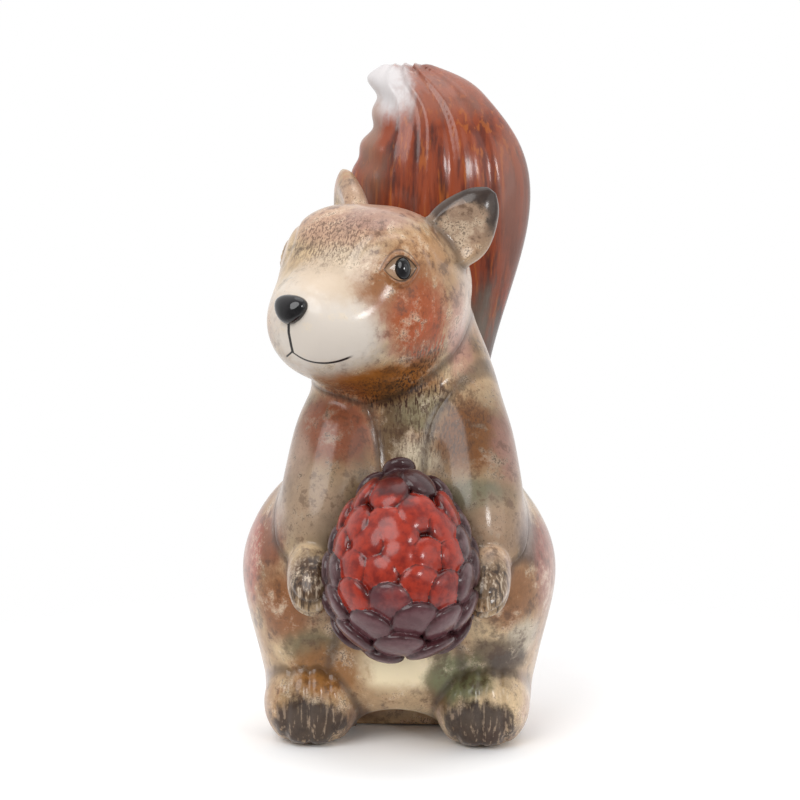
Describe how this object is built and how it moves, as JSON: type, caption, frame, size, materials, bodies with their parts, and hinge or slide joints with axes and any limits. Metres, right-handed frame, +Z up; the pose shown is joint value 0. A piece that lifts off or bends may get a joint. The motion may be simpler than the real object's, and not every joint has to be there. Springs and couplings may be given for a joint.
{
  "type": "squirrel figurine",
  "caption": "Glazed hand-painted stoneware squirrel sitting up with a pine cone between its forepaws, head turned to its right, tall plume tail behind, free-standing ornament.",
  "frame": {"origin": "on the floor plane under the trunk, a point of the body's flat seat", "axes": "+Z up, -Y the way the squirrel faces, +X its own left side"},
  "size_m": [0.0942, 0.1227, 0.198],
  "materials": {
    "painted_glaze": "gloss",
    "tail_glaze": "gloss",
    "cone_glaze": "gloss",
    "black_glaze": "high gloss"
  },
  "bodies": {
    "root": {"body": "painted_glaze", "head": "painted_glaze", "left_ear": "painted_glaze", "right_ear": "painted_glaze", "left_foreleg": "painted_glaze", "right_foreleg": "painted_glaze", "left_foot": "painted_glaze", "right_foot": "painted_glaze", "tail": "tail_glaze", "pine_cone": "cone_glaze", "nose": "black_glaze", "left_eye": "black_glaze", "right_eye": "black_glaze"}
  },
  "joints": []
}
